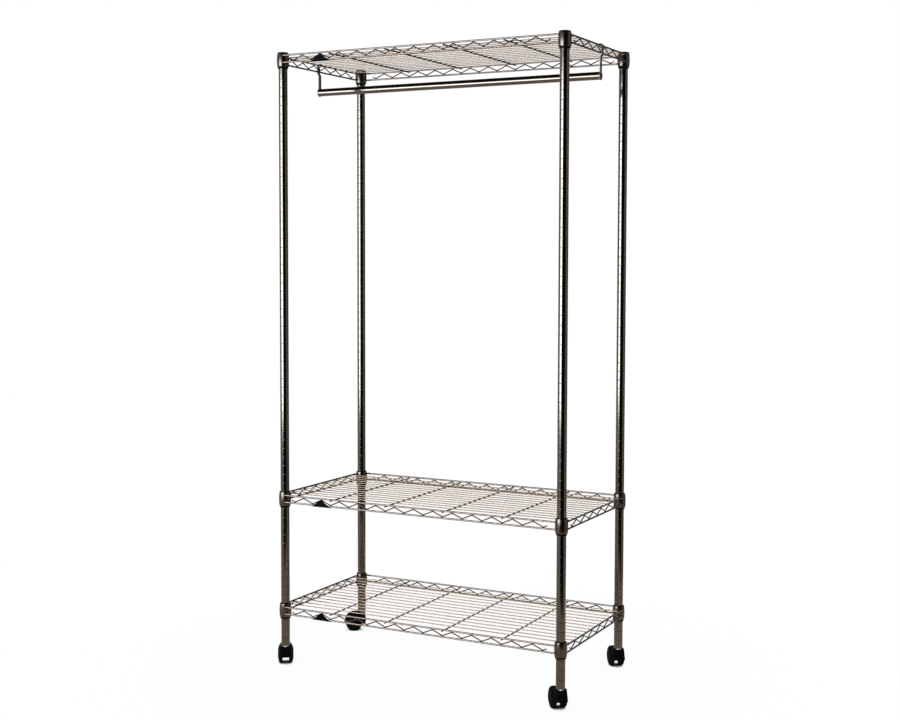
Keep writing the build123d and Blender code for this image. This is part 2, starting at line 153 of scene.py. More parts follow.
class RackCasters(bpy.types.PropertyGroup):
    wheel_diameter: length("Wheel Diameter", 0.052, "Outside of the wheels")
    inner_face: length("Inner Face", 0.0095, "Inner face of a wheel from the caster's middle")
    shoulder: length("Tread Shoulder", 0.0190, "Outer edge of the tread from the caster's middle")
    outer_face: length("Outer Face", 0.0230, "Outer face of a wheel from the caster's middle")
    hub_radius: length("Hub Radius", 0.009, "Radius of the raised hub on the outer face")
    bore: length("Wheel Bore", 0.0061, "Bore for the axle")
    bore_end: length("Bore End", 0.0200, "Closed end of the bore from the caster's middle")


class RackFinishes(bpy.types.PropertyGroup):
    bronze: colour("Bronze Plating", (0.092, 0.070, 0.048), "Reflecting colour of posts and rod")
    collar: colour("Collar Plating", (0.066, 0.048, 0.032), "Reflecting colour of the collars")
    wire: colour("Wire Plating", (0.125, 0.087, 0.060), "Reflecting colour of the rails")
    # Painted sheen: a lighter copy of the wire plating, so the deck wires look brighter as if lit
    deck: colour("Deck Plating Painted Lighter", (0.200, 0.127, 0.074), "Reflecting colour of the deck wires")
    # Painted shade: a darker copy of the wire plating, so zigzags and cross wires look shaded
    truss: colour("Zigzag Plating Painted Darker", (0.031, 0.021, 0.014), "Reflecting colour of zigzags and cross wires")
    strap: colour("Strap Plating", (0.180, 0.142, 0.098), "Reflecting colour of the hook straps")
    steel: colour("Plain Steel", (0.560, 0.565, 0.570), "Reflecting colour of flanges, stems and axles")
    plastic: colour("Black Plastic", (0.0024, 0.0024, 0.0025), "Colour of sleeves, caps, plates and casters")
    dust: colour("Dust", (0.010, 0.010, 0.009), "Colour of dust and scuffs")


class RackStage(bpy.types.PropertyGroup):
    azimuth: turning("Azimuth", 27.504, "Camera to the right of the front")
    elevation: turning("Elevation", 3.2706, "Camera above the horizon")
    roll: turning("Roll", 0.125, "Turn of the camera about its view")
    distance: length("Distance", 4.0232, "Camera to the point it looks at")
    target: FloatVectorProperty(
        name="Target",
        description="Point the camera looks at",
        default=(-0.0072 + float(rack_middle[0]), float(rack_middle[1]), 0.9792),
        size=3,
        subtype="TRANSLATION",
    )
    sensor: FloatProperty(name="Sensor", description="Width of the frame in millimetres", default=36.0)
    lens: FloatProperty(name="Lens", description="Focal length in millimetres", default=55.454)
    rise: portion("Rise", -0.03, "Upward shift of the lens, as a share of the frame")
    floor: colour("Floor", (0.97, 0.97, 0.97), "Colour of the floor in the light")
    floor_radius: length("Floor Radius", 1.5, "Radius of the round floor")
    # Reach of the painted contact shadow on the floor
    contact_reach: length("Contact Reach", 0.05, "How far from a wheel the floor is darkened")


class RackSettings(bpy.types.PropertyGroup):
    posts: PointerProperty(type=RackPosts)
    shelves: PointerProperty(type=RackShelves)
    rod: PointerProperty(type=RackRod)
    casters: PointerProperty(type=RackCasters)
    finishes: PointerProperty(type=RackFinishes)
    stage: PointerProperty(type=RackStage)


# Surfaces

class Surface:
    """Points, four-sided faces with UVs in metres, closing faces, and painted groove shade from 0 to 1 at
    each point.
    """

    def __init__(self, points, quads, uvs, ends, groove_shade):
        self.points = points
        self.quads = quads
        self.uvs = uvs
        self.ends = ends
        self.groove_shade = groove_shade


def grid_faces(index):
    """Corners of the faces between neighbours on a grid, row by row."""
    corners = (index[:-1, :-1], index[:-1, 1:], index[1:, 1:], index[1:, :-1])
    return np.stack(corners, axis=2)


def steps_along(points):
    """Distance run along a line of points, from its start."""
    return np.concatenate(([0.0], np.cumsum(np.linalg.norm(np.diff(points, axis=0), axis=1))))


def swept_wire(path, radius, side, sides=14):
    """Round wire: at each path point p, p + r (n cos a + side sin a), with n = side x tangent."""
    path = np.asarray(path, float)
    step = np.gradient(path, axis=0)
    tangent = step / np.linalg.norm(step, axis=1, keepdims=True)
    normal = np.cross(side, tangent)
    angle = np.linspace(0, tau, sides + 1)
    radius = np.broadcast_to(radius, len(path))
    spokes = np.cos(angle[:-1, None]) * normal[:, None, :] + np.sin(angle[:-1, None]) * side
    points = path[:, None, :] + radius[:, None, None] * spokes
    index = np.arange(len(path) * sides).reshape(len(path), sides)
    faces = grid_faces(np.hstack([index, index[:, :1]])).reshape(-1, 4)
    u, v = np.meshgrid(angle * radius.max(), steps_along(path))
    ends = [index[0, ::-1], index[-1]]
    return Surface(points.reshape(-1, 3), faces, uv_corners(u, v), ends, np.zeros(points.size // 3))


def uv_corners(u, v):
    """UV of each face's four corners on a grid."""
    return np.stack([grid_faces(u), grid_faces(v)], axis=3).reshape(-1, 4, 2)


def straight_wire(start, end, radius, side, bevel=0.15, sides=14):
    """Straight wire with its cut ends bevelled by a share of the radius."""
    start, end = np.asarray(start, float), np.asarray(end, float)
    run = np.linalg.norm(end - start)
    shares = np.array((0.0, bevel * radius, run / 2, run - bevel * radius, run)) / run
    widths = np.array((1.0 - bevel, 1.0, 1.0, 1.0, 1.0 - bevel)) * radius
    return swept_wire(start + shares[:, None] * (end - start), widths, side, sides)


def turned(profile, origin, axis=UP, sides=48, arc=tau, start=0.0, closed=True, groove_shade=None):
    """Profile of (radius, height) turned about an axis: o + h axis + r (e cos a + f sin a).

    A closed profile is a ring's section. An open one is closed at both ends by a flat face.
    """
    profile = np.asarray(profile, float)
    axis = np.asarray(axis, float)
    across = np.cross(axis, UP if abs(axis[2]) < 0.9 else BACK)
    across /= np.linalg.norm(across)
    whole = arc >= tau
    angle = start + np.linspace(0, arc, sides + 1)
    turns = angle[:-1] if whole else angle
    spokes = np.cos(turns)[:, None] * across + np.sin(turns)[:, None] * np.cross(axis, across)
    points = np.asarray(origin) + profile[:, None, 1:] * axis + profile[:, None, :1] * spokes
    index = np.arange(len(profile) * len(turns)).reshape(len(profile), len(turns))
    loop = np.vstack([index, index[:1]]) if closed else index
    ring = np.hstack([loop, loop[:, :1]]) if whole else loop
    line = np.vstack([profile, profile[:1]]) if closed else profile
    u, v = np.meshgrid(angle * profile[:, 0].max(), steps_along(line))
    if not whole:
        ends = [index[:, 0], index[::-1, -1]]
    elif closed:
        ends = []
    else:
        ends = [index[0, ::-1], index[-1]]
    held = np.zeros(len(profile)) if groove_shade is None else np.asarray(groove_shade, float)
    quads = grid_faces(ring).reshape(-1, 4)
    return Surface(points.reshape(-1, 3), quads, uv_corners(u, v), ends, np.repeat(held, len(turns)))


def bead(centre, axis, half_length, radius, sides=8, rings=5):
    """Weld bead: half an ellipse, r = radius sin t and h = -half_length cos t, turned about an axis."""
    cut = 0.25
    t = np.linspace(cut, pi - cut, rings)
    profile = np.column_stack([radius * np.sin(t), -half_length * np.cos(t)])
    return turned(profile, centre, axis, sides, closed=False)


def arc_through(first, middle, last, count):
    """Points of the circle through three points, from the first to the last."""
    (ax, ay), (bx, by), (cx, cy) = first, middle, last
    d = 2 * (ax * (by - cy) + bx * (cy - ay) + cx * (ay - by))
    a2, b2, c2 = ax * ax + ay * ay, bx * bx + by * by, cx * cx + cy * cy
    centre_x = a2 * (by - cy) + b2 * (cy - ay) + c2 * (ay - by)
    centre_y = a2 * (cx - bx) + b2 * (ax - cx) + c2 * (bx - ax)
    centre = np.array((centre_x, centre_y)) / d
    spoke = np.array([first, last]) - centre
    radius = np.linalg.norm(spoke[0])
    turn = np.arctan2(spoke[:, 1], spoke[:, 0])
    angle = np.linspace(turn[0], turn[1], count)
    return centre + radius * np.column_stack([np.cos(angle), np.sin(angle)])


def bent_line(corners, radius, samples=6):
    """Line through corner points with each corner rounded.

    A bend is p + r (d sin t + n (1 - cos t)), with t from 0 to the turn.
    """
    corners = np.asarray(corners, float)
    run = np.diff(corners, axis=0)
    run /= np.linalg.norm(run, axis=1, keepdims=True)
    before, after = run[:-1], run[1:]
    turn = np.arccos(np.clip(np.sum(before * after, axis=1), -1, 1))
    inward = after - before * np.cos(turn)[:, None]
    inward /= np.linalg.norm(inward, axis=1, keepdims=True)
    begin = corners[1:-1] - before * (radius * np.tan(turn / 2))[:, None]
    t = turn[:, None] * np.linspace(0, 1, samples)
    bends = begin[:, None] + radius * (
        np.sin(t)[..., None] * before[:, None] + (1 - np.cos(t))[..., None] * inward[:, None]
    )
    return np.vstack([corners[:1], bends.reshape(-1, corners.shape[1]), corners[-1:]])


def add_piece(name, surfaces, finish, body, nodes, crease=radians(38)):
    """One mesh object from its surfaces, at the origin, riding on a body in place of CAD nodes."""
    offsets = np.cumsum([0] + [len(surface.points) for surface in surfaces[:-1]])
    points = np.vstack([surface.points for surface in surfaces])
    quads = np.vstack([surface.quads + offset for surface, offset in zip(surfaces, offsets)])
    ends = [(end + offset).tolist() for surface, offset in zip(surfaces, offsets) for end in surface.ends]
    mesh = bpy.data.meshes.new(name)
    mesh.from_pydata(points.tolist(), [], quads.tolist() + ends)
    uvs = np.zeros((len(mesh.loops), 2))
    uvs[: quads.size] = np.vstack([surface.uvs for surface in surfaces]).reshape(-1, 2)
    mesh.uv_layers.new(name="UVMap").data.foreach_set("uv", uvs.ravel())
    # Painted groove shade, one share per point, read by the finish as an attribute
    groove_shade = mesh.attributes.new("groove_shade", "FLOAT", "POINT")
    groove_shade.data.foreach_set("value", np.concatenate([surface.groove_shade for surface in surfaces]))
    if mesh.validate():
        raise RuntimeError(f"{name} has faces that Blender had to mend")
    mesh.shade_smooth()
    mesh.set_sharp_from_angle(angle=crease)
    mesh.materials.append(finish)
    piece = bpy.data.objects.new(name, mesh)
    bpy.context.scene.collection.objects.link(piece)
    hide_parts(*nodes)
    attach(piece, body)


def finish_nodes(finish, *names):
    """Gives CAD nodes that stay in view a finish of their own."""
    for name in names:
        slots = frame["nodes"][name].data.materials
        slots.clear()
        slots.append(finish)


# Materials

class Nodes:
    """Short ways to add and join the nodes of a shader tree."""

    def __init__(self, tree):
        self.tree = tree

    def node(self, kind, inputs=None, **settings):
        """A node with its settings; each input is another node's socket or a value."""
        made = self.tree.nodes.new(kind)
        for key, value in settings.items():
            setattr(made, key, value)
        for key, value in (inputs or {}).items():
            if isinstance(value, bpy.types.NodeSocket):
                self.tree.links.new(value, made.inputs[key])
            else:
                made.inputs[key].default_value = value
        return made

    def spread(self, value, low, high, to_low, to_high, curve="LINEAR"):
        """Value between low and high, carried to another range and kept inside it."""
        inputs = {"Value": value, "From Min": low, "From Max": high, "To Min": to_low, "To Max": to_high}
        return self.node("ShaderNodeMapRange", inputs, interpolation_type=curve).outputs["Result"]

    def math(self, operation, first, second):
        return self.node("ShaderNodeMath", {0: first, 1: second}, operation=operation).outputs["Value"]

    def mix(self, share, first, second):
        """Mix of two colours."""
        return self.node("ShaderNodeMix", {0: share, 6: first, 7: second}, data_type="RGBA").outputs[2]


class Finish(Nodes):
    """A principled material."""

    def __init__(self, name, metallic, specular=0.5):
        self.material = bpy.data.materials.new(name)
        self.material.use_nodes = True
        super().__init__(self.material.node_tree)
        self.shader = self.tree.nodes["Principled BSDF"]
        self.shader.inputs["Metallic"].default_value = metallic
        self.shader.inputs["Specular IOR Level"].default_value = specular

    def noise(self, place, scale, detail=2.0, roughness=0.5):
        """Noise from 0 to 1 over scaled coordinates."""
        mapped = self.node("ShaderNodeMapping", {"Vector": place, "Scale": scale})
        inputs = {"Vector": mapped.outputs["Vector"], "Scale": 1.0, "Detail": detail, "Roughness": roughness}
        return self.node("ShaderNodeTexNoise", inputs).outputs["Fac"]

    def object_place(self):
        return self.node("ShaderNodeTexCoord").outputs["Object"]

    def surface_place(self):
        return self.node("ShaderNodeUVMap", uv_map="UVMap").outputs["UV"]

    # Share of painted groove shade stored on the mesh
    def groove_shade(self):
        return self.node("ShaderNodeAttribute", attribute_name="groove_shade").outputs["Fac"]

    def set(self, socket, value):
        self.tree.links.new(value, self.shader.inputs[socket])

    def bump(self, height, distance, strength=1.0):
        inputs = {"Height": height, "Distance": distance, "Strength": strength}
        self.set("Normal", self.node("ShaderNodeBump", inputs).outputs["Normal"])


def rgba(base, share=1.0):
    """A colour with a share of its brightness, ready for a socket."""
    return (base[0] * share, base[1] * share, base[2] * share, 1.0)


def plated(name, base, smooth, rough, on_surface=True, peel=0.000004):
    """Dark bronze plating: faint draw lines along the metal, cloudy tone, and painted shade that darkens and
    roughens the grooves.
    """
    finish = Finish(name, metallic=1.0)
    place = finish.object_place()
    cloud = finish.noise(place, (16, 16, 9), detail=4)
    fine = finish.noise(place, (900, 900, 900), detail=2)
    if on_surface:
        drawn = finish.noise(finish.surface_place(), (900, 5, 1), detail=3)
    else:
        drawn = finish.noise(place, (1100, 1100, 30), detail=3)
    tone = finish.spread(cloud, 0.35, 0.68, 0.0, 1.0)
    metal = finish.mix(tone, rgba(base, 0.92), rgba(base, 1.08))
    lines = finish.spread(drawn, 0.42, 0.62, 0.0, 0.2)
    metal = finish.mix(lines, metal, rgba(base, 0.85))
    # Painted shade in the grooves: darker and rougher, more so where the cloud noise is high
    groove_darkening = finish.math("MULTIPLY", finish.groove_shade(), finish.spread(cloud, 0.2, 0.8, 0.5, 0.75))
    finish.set("Base Color", finish.mix(groove_darkening, metal, rgba(base, 0.2)))
    gloss = finish.math("ADD", finish.math("MULTIPLY", drawn, 0.5), finish.math("MULTIPLY", cloud, 0.5))
    gloss = finish.spread(gloss, 0.35, 0.65, smooth, rough)
    finish.set("Roughness", finish.math("ADD", gloss, finish.math("MULTIPLY", groove_darkening, 0.3)))
    height = finish.math("ADD", finish.math("MULTIPLY", drawn, 0.6), finish.math("MULTIPLY", fine, 0.4))
    finish.bump(height, peel)
    return finish.material


def moulded(name, base, dust, smooth, rough, grain=1700, dusty=0.25):
    """Moulded black plastic: fine grain, scuffs where noise is high, dust towards the floor."""
    finish = Finish(name, metallic=0.0, specular=0.01)
    place = finish.object_place()
    grainy = finish.noise(place, (grain, grain, grain), detail=2)
    patch = finish.noise(place, (55, 55, 70), detail=5, roughness=0.6)
    scratch = finish.noise(place, (240, 1600, 420), detail=3)
    scuff = finish.math(
        "MULTIPLY", finish.spread(patch, 0.52, 0.72, 0.0, 1.0), finish.spread(scratch, 0.55, 0.72, 0.0, 0.55)
    )
    low = finish.node("ShaderNodeSeparateXYZ", {"Vector": place}).outputs["Z"]
    near_floor = finish.spread(low, 0.0, 0.035, dusty, 0.0)
    settled = finish.math("MULTIPLY", near_floor, finish.spread(patch, 0.3, 0.7, 0.3, 1.0))
    tone = finish.mix(finish.spread(patch, 0.3, 0.7, 0.0, 1.0), rgba(base, 0.85), rgba(base, 1.25))
    tone = finish.mix(scuff, tone, rgba(dust, 0.7))
    finish.set("Base Color", finish.mix(settled, tone, rgba(dust)))
    gloss = finish.spread(patch, 0.3, 0.7, smooth, rough)
    finish.set("Roughness", finish.math("ADD", gloss, finish.math("MULTIPLY", settled, 0.4)))
    finish.bump(grainy, 0.00004, 0.6)
    return finish.material


def bright_steel(name, base):
    """Zinc-plated steel: brushed, with a cloudy grey tone."""
    finish = Finish(name, metallic=1.0)
    place = finish.object_place()
    brushed = finish.noise(place, (2200, 2200, 160), detail=3)
    cloud = finish.noise(place, (120, 120, 120), detail=4)
    tone = finish.spread(cloud, 0.3, 0.7, 0.0, 1.0)
    finish.set("Base Color", finish.mix(tone, rgba(base, 0.8), rgba(base, 1.1)))
    finish.set("Roughness", finish.spread(brushed, 0.3, 0.7, 0.28, 0.46))
    finish.bump(brushed, 0.00002)
    return finish.material


made_finishes = {}


def finish_named(key):
    """The rack's materials, each made the first time a piece asks for it."""
    tones = bpy.context.scene.clothes_rack.finishes
    makers = {
        "post": lambda: plated("bronze_post_plating", tones.bronze, 0.09, 0.14, peel=0.0000015),
        "rod": lambda: plated("bronze_rod_plating", tones.bronze, 0.08, 0.12, peel=0.0000015),
        "collar": lambda: plated("bronze_collar_plating", tones.collar, 0.18, 0.28, peel=0.000006),
        "wire": lambda: plated("bronze_wire_plating", tones.wire, 0.20, 0.32),
        # The deck wires get the wire plating painted lighter, as painted sheen
        "deck": lambda: plated("bronze_deck_plating_painted_sheen", tones.deck, 0.20, 0.32),
        # Zigzags and cross wires get the wire plating painted darker, as painted shade
        "truss": lambda: plated("bronze_truss_plating_painted_shade", tones.truss, 0.22, 0.34),
        "strap": lambda: plated("bronze_strap_plating", tones.strap, 0.44, 0.58, on_surface=False),
        "steel": lambda: bright_steel("zinc_plated_steel", tones.steel),
        "sleeve": lambda: moulded("black_sleeve_plastic", tones.plastic, tones.dust, 0.34, 0.50, dusty=0.0),
        "plate": lambda: moulded("black_plate_plastic", tones.plastic, tones.dust, 0.30, 0.45, dusty=0.0),
        "hood": lambda: moulded("black_hood_plastic", tones.plastic, tones.dust, 0.36, 0.50),
        "wheel": lambda: moulded("black_wheel_nylon", tones.plastic, tones.dust, 0.40, 0.55, dusty=0.6),
    }
    if key not in made_finishes:
        made_finishes[key] = makers[key]()
    return made_finishes[key]


# Posts

def post_profile(posts, height):
    """Section of a post tube: straight outside with a rounded dip at every pitch, bevelled ends, bore, and a
    share of painted groove shade at each point.
    """
    outer, bore, bevel = posts.diameter / 2, posts.diameter / 2 - posts.wall, posts.end_bevel
    dip_at = np.array((-0.75, -0.5, -0.36, -0.23, 0.0, 0.23, 0.36, 0.5, 0.75)) * posts.groove_width
    dip = np.array((0.0, 0.0, 0.5, 1.0, 1.0, 1.0, 0.5, 0.0, 0.0))
    # Share of painted shade at each point of a groove, strongest at its floor
    shade_weight = np.array((0.0, 0.6, 1.0, 1.0, 1.0, 1.0, 1.0, 0.6, 0.0))
    unshaded_end = np.zeros(3)
    grooves = np.arange(1, round(height / posts.pitch)) * posts.pitch
    z = (grooves[:, None] + dip_at).ravel()
    deep = np.tile(dip, len(grooves))
    low_end = [(bore, 0.0), (outer - bevel, 0.0), (outer, bevel)]
    high_end = [(outer, height - bevel), (outer - bevel, height), (bore, height)]
    body = np.column_stack([outer - posts.groove_depth * deep, z])
    groove_shade = np.concatenate([unshaded_end, np.tile(shade_weight, len(grooves)), unshaded_end])
    return np.vstack([low_end, body, high_end]), groove_shade


class RACK_OT_posts(bpy.types.Operator):
    """Grooved tubes of the four posts"""
    bl_idname = "clothes_rack.posts"
    bl_label = "Posts"

    def execute(self, context):
        posts = context.scene.clothes_rack.posts
        for section, foot, head in (("lower", post_foot, post_joint), ("upper", post_joint, post_top)):
            profile, groove_shade = post_profile(posts, head - foot)
            for corner in CORNERS:
                tube = turned(profile, (*post_axis[corner], foot), groove_shade=groove_shade)
                name = f"tube_{section}_{corner}"
                node = f"post_{section}_{corner}"
                add_piece(name, [tube], finish_named("post"), "frame", [node])
        finish_nodes(finish_named("steel"), "post_joint_inserts", "post_joint_studs", "post_foot_sockets")
        return {"FINISHED"}


class RACK_OT_caps(bpy.types.Operator):
    """Low black caps in the post tops"""
    bl_idname = "clothes_rack.caps"
    bl_label = "Post Caps"

    def execute(self, context):
        posts = context.scene.clothes_rack.posts
        outer, edge, top = posts.diameter / 2, posts.cap_round, posts.cap_height
        turn = np.linspace(0, pi / 2, 9)
        rounded = np.column_stack([outer - edge + edge * np.cos(turn), top - edge + edge * np.sin(turn)])
        dish_rim, dish_floor, middle = outer * 0.72, outer * 0.66, outer * 0.1
        dish_depth, seat_gap = 0.0003, 0.0002
        dished = [(dish_rim, top), (dish_floor, top - dish_depth), (middle, top - dish_depth)]
        profile = np.vstack([[(middle, 0.0), (outer - seat_gap, 0.0)], rounded, dished])
        caps = [turned(profile, (*post_axis[corner], post_top), closed=False) for corner in CORNERS]
        add_piece("caps_on_posts", caps, finish_named("sleeve"), "frame", ["post_caps"])
        return {"FINISHED"}


# Sleeves and collars

def shelf_level(shelf):
    """Height of the groove that carries a shelf, from its collars in the frame."""
    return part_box(f"collars_{shelf}")[1].z - bpy.context.scene.clothes_rack.shelves.collar_top


def sleeve_radius(settings, height):
    """Outer radius of the tapered sleeve at a height from its groove."""
    ends = (settings.sleeve_bottom, settings.sleeve_top)
    return np.interp(height, ends, (settings.sleeve_foot, settings.sleeve_head))


class RACK_OT_sleeves(bpy.types.Operator):
    """Black split sleeves that wedge between post and collar"""
    bl_idname = "clothes_rack.sleeves"
    bl_label = "Split Sleeves"

    def execute(self, context):
        settings = context.scene.clothes_rack.shelves
        low, high, lip, gap = settings.sleeve_bottom, settings.sleeve_top, 0.0003, 0.00005
        bore = context.scene.clothes_rack.posts.diameter / 2 + gap
        heights = np.linspace(low + lip, high - lip, 12)
        outer = np.column_stack([sleeve_radius(settings, heights), heights])
        low_edge = [(bore, low), (outer[0, 0] - lip, low)]
        high_edge = [(outer[-1, 0] - lip, high), (bore, high)]
        profile = np.vstack([low_edge, outer, high_edge])
        for shelf in SHELVES:
            level = shelf_level(shelf)
            halves = [
                turned(profile, (*post_axis[corner], level), arc=settings.sleeve_arc, start=turn)
                for corner in CORNERS
                for turn in (pi, 0.0)
            ]
            node = f"sleeves_{shelf}"
            add_piece(f"split_{node}", halves, finish_named("sleeve"), "frame", [node])
        return {"FINISHED"}


class RACK_OT_collars(bpy.types.Operator):
    """Barrel collars at the corners of the shelves"""
    bl_idname = "clothes_rack.collars"
    bl_label = "Collars"

    def execute(self, context):
        settings = context.scene.clothes_rack.shelves
        low, high, lip, gap = settings.collar_bottom, settings.collar_top, 0.0006, 0.00005
        foot, head = settings.collar_foot, settings.collar_head
        edge_in, edge_up = 0.25 * lip, 0.6 * lip
        low_bore, high_bore = sleeve_radius(settings, np.array((low, high))) + gap
        waist = (settings.collar_waist_radius, settings.collar_waist)
        barrel = arc_through((foot, low), waist, (head, high), 26)[1:-1]
        low_edge = [(low_bore, low), (foot - lip, low), (foot - edge_in, low + edge_up)]
        high_edge = [(head - edge_in, high - edge_up), (head - lip, high), (high_bore, high)]
        profile = np.vstack([low_edge, barrel, high_edge])
        for shelf in SHELVES:
            level = shelf_level(shelf)
            rings = [turned(profile, (*post_axis[corner], level), sides=64) for corner in CORNERS]
            node, body = f"collars_{shelf}", SHELF_BODY[shelf]
            add_piece(f"barrel_{node}", rings, finish_named("collar"), body, [node])
        return {"FINISHED"}


# Shelf wires

def shelf_point(x, y, z):
    """Point of a shelf, from the middle of the posts."""
    return np.array((rack_middle[0] + x, rack_middle[1] + y, z))


class RACK_OT_rails(bpy.types.Operator):
    """Upper and lower rails along the shelf edges, with the weld beads at the collars"""
    bl_idname = "clothes_rack.rails"
    bl_label = "Rails"

    def execute(self, context):
        s = context.scene.clothes_rack.shelves
        plane = half_span + s.rail_offset
        end = half_span - s.rail_end
        radius = s.rail_diameter / 2
        tuck, sink, bead_half, bead_radius = 0.0025, 0.0014, 0.0052, 0.0024
        for shelf in SHELVES:
            wires = []
            for rise in (s.upper_rail, s.lower_rail):
                z = shelf_level(shelf) + rise
                for side in (-1, 1):
                    x, y = side * plane
                    runs = (
                        (shelf_point(-end[0], y, z), shelf_point(end[0], y, z), ALONG, BACK),
                        (shelf_point(x, -end[1], z), shelf_point(x, end[1], z), BACK, ALONG),
                    )
                    for start, stop, along, out in runs:
                        wires.append(straight_wire(start, stop, radius, UP))
                        for tip, inward in ((start, 1), (stop, -1)):
                            seat = tip + inward * along * tuck - side * out * sink
                            wires.append(bead(seat, along, bead_half, bead_radius))
            node, body = f"rails_{shelf}", SHELF_BODY[shelf]
            add_piece(f"welded_{node}", wires, finish_named("wire"), body, [node])
        return {"FINISHED"}


def zigzag(settings, feet, z):
    """Corner points (run, height) of a zigzag wire with a cut leg beyond each end foot."""
    reach = (settings.rail_diameter + settings.truss_diameter) / 2 - settings.weld_bite
    low, high = z + settings.lower_rail + reach, z + settings.upper_rail - reach
    half = settings.truss_pitch / 2
    run = (np.arange(2 * feet - 1) - (feet - 1)) * half
    height = np.where(np.arange(2 * feet - 1) % 2, high, low)
    stub = run[-1] + settings.truss_stub * half
    stub_z = low + settings.truss_stub * (high - low)
    corners = np.column_stack([run, height])
    return np.vstack([[(-stub, stub_z)], corners, [(stub, stub_z)]])


class RACK_OT_trusses(bpy.types.Operator):
    """Zigzag wires between the rails, with a weld bead at every foot and crest"""
    bl_idname = "clothes_rack.trusses"
    bl_label = "Zigzag Wires"

    def execute(self, context):
        s = context.scene.clothes_rack.shelves
        plane = half_span + s.rail_offset
        radius = s.truss_diameter / 2
        sink, bead_half, bead_radius = 0.9 * radius, 0.0046, 0.0013
        for shelf in SHELVES:
            wires = []
            for feet, along, out, offset in (
                (s.feet_long, ALONG, BACK, plane[1]),
                (s.feet_short, BACK, ALONG, plane[0]),
            ):
                corners = zigzag(s, feet, shelf_level(shelf))
                line = bent_line(corners, s.truss_bend)
                for side in (-1, 1):
                    middle = shelf_point(*(side * offset * out[:2]), 0.0)
                    path = middle + line[:, :1] * along + line[:, 1:] * UP
                    wires.append(swept_wire(path, radius, out if along is BACK else -out, sides=12))
                    for index in range(1, len(corners) - 1):
                        run, height = corners[index]
                        seat = middle + run * along + (height - sink if index % 2 else height + sink) * UP
                        wires.append(bead(seat, along, bead_half, bead_radius, sides=6, rings=4))
            node, body = f"trusses_{shelf}", SHELF_BODY[shelf]
            add_piece(f"zigzag_{node}", wires, finish_named("truss"), body, [node])
        return {"FINISHED"}


class RACK_OT_deck_wires(bpy.types.Operator):
    """Parallel wires that carry the load"""
    bl_idname = "clothes_rack.deck_wires"
    bl_label = "Deck Wires"

    def execute(self, context):
        s = context.scene.clothes_rack.shelves
        end = half_span[0] + s.rail_offset - s.rail_diameter / 2 + s.weld_bite
        radius = s.deck_diameter / 2
        places = (np.arange(s.deck_count) - (s.deck_count - 1) / 2) * s.deck_pitch
        for shelf in SHELVES:
            z = shelf_level(shelf) + s.deck_height
            runs = [(shelf_point(-end, y, z), shelf_point(end, y, z)) for y in places]
            wires = [straight_wire(start, stop, radius, UP, sides=12) for start, stop in runs]
            node, body = f"deck_wires_{shelf}", SHELF_BODY[shelf]
            add_piece(f"parallel_{node}", wires, finish_named("deck"), body, [node])
        return {"FINISHED"}


class RACK_OT_cross_wires(bpy.types.Operator):
    """Wires from front to back under the deck"""
    bl_idname = "clothes_rack.cross_wires"
    bl_label = "Cross Wires"

    def execute(self, context):
        s = context.scene.clothes_rack.shelves
        end = half_span[1] + s.rail_offset + s.cross_overhang
        radius = s.cross_diameter / 2
        first_foot, foot_step = 2, 3
        feet = np.arange(first_foot, s.feet_long - first_foot, foot_step)
        places = (feet - (s.feet_long - 1) / 2) * s.truss_pitch
        for shelf in SHELVES:
            z = shelf_level(shelf) + s.cross_height
            runs = [(shelf_point(x, -end, z), shelf_point(x, end, z)) for x in places]
            wires = [straight_wire(start, stop, radius, UP) for start, stop in runs]
            node, body = f"cross_wires_{shelf}", SHELF_BODY[shelf]
            add_piece(f"under_{node}", wires, finish_named("truss"), body, [node])
        return {"FINISHED"}


class RACK_OT_name_plates(bpy.types.Operator):
    """Blank plates on the front edges"""
    bl_idname = "clothes_rack.name_plates"
    bl_label = "Blank Plates"

    def execute(self, context):
        finish_nodes(finish_named("plate"), *[f"name_plate_{shelf}" for shelf in SHELVES])
        return {"FINISHED"}


# Hanging rod

class RACK_OT_hanging_rod(bpy.types.Operator):
    """Hanging rod with its hook straps and end screws"""
    bl_idname = "clothes_rack.hanging_rod"
    bl_label = "Hanging Rod"

    def execute(self, context):
        rod = context.scene.clothes_rack.rod
        low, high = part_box("hang_rod_tube")
        middle = np.array((rack_middle[0], rack_middle[1], (low.z + high.z) / 2))
        half = (high.x - low.x) / 2
        outer, bore, bevel = rod.diameter / 2, rod.diameter / 2 - rod.wall, 0.0004
        profile = [
            (bore, -half), (outer - bevel, -half), (outer, -half + bevel), (outer, 0.0),
            (outer, half - bevel), (outer - bevel, half), (bore, half),
        ]
        tube = turned(profile, middle, ALONG, sides=64)
        body = "hang_rod"
        add_piece("tube_hanging_rod", [tube], finish_named("rod"), body, ["hang_rod_tube"])
        head, rise = rod.screw_head / 2, rod.screw_height
        far = (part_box("hang_rod_screws")[1].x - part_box("hang_rod_screws")[0].x) / 2
        turn = np.linspace(0, pi / 2, 7)
        edge = rise / 2
        dome = np.column_stack([head - edge + edge * np.cos(turn), edge + edge * np.sin(turn)])
        socket_rim, socket_floor, tip = 0.0019, 0.0017, 0.0003
        socket_depth, tip_depth = 0.0012, 0.0014
        socket = [(socket_rim, rise), (socket_floor, rise - socket_depth), (tip, rise - tip_depth)]
        screw = np.vstack([[(tip, 0.0), (head, 0.0)], dome, socket])
        heads = [
            turned(screw, middle + side * (far - rise) * ALONG, side * ALONG, sides=36, closed=False)
            for side in (-1, 1)
        ]
        strap = finish_named("strap")
        add_piece("heads_rod_screws", heads, strap, body, ["hang_rod_screws"])
        finish_nodes(strap, "hang_strap_left", "hang_strap_right")
        finish_nodes(finish_named("sleeve"), "hang_rod_plugs")
        return {"FINISHED"}


# Casters

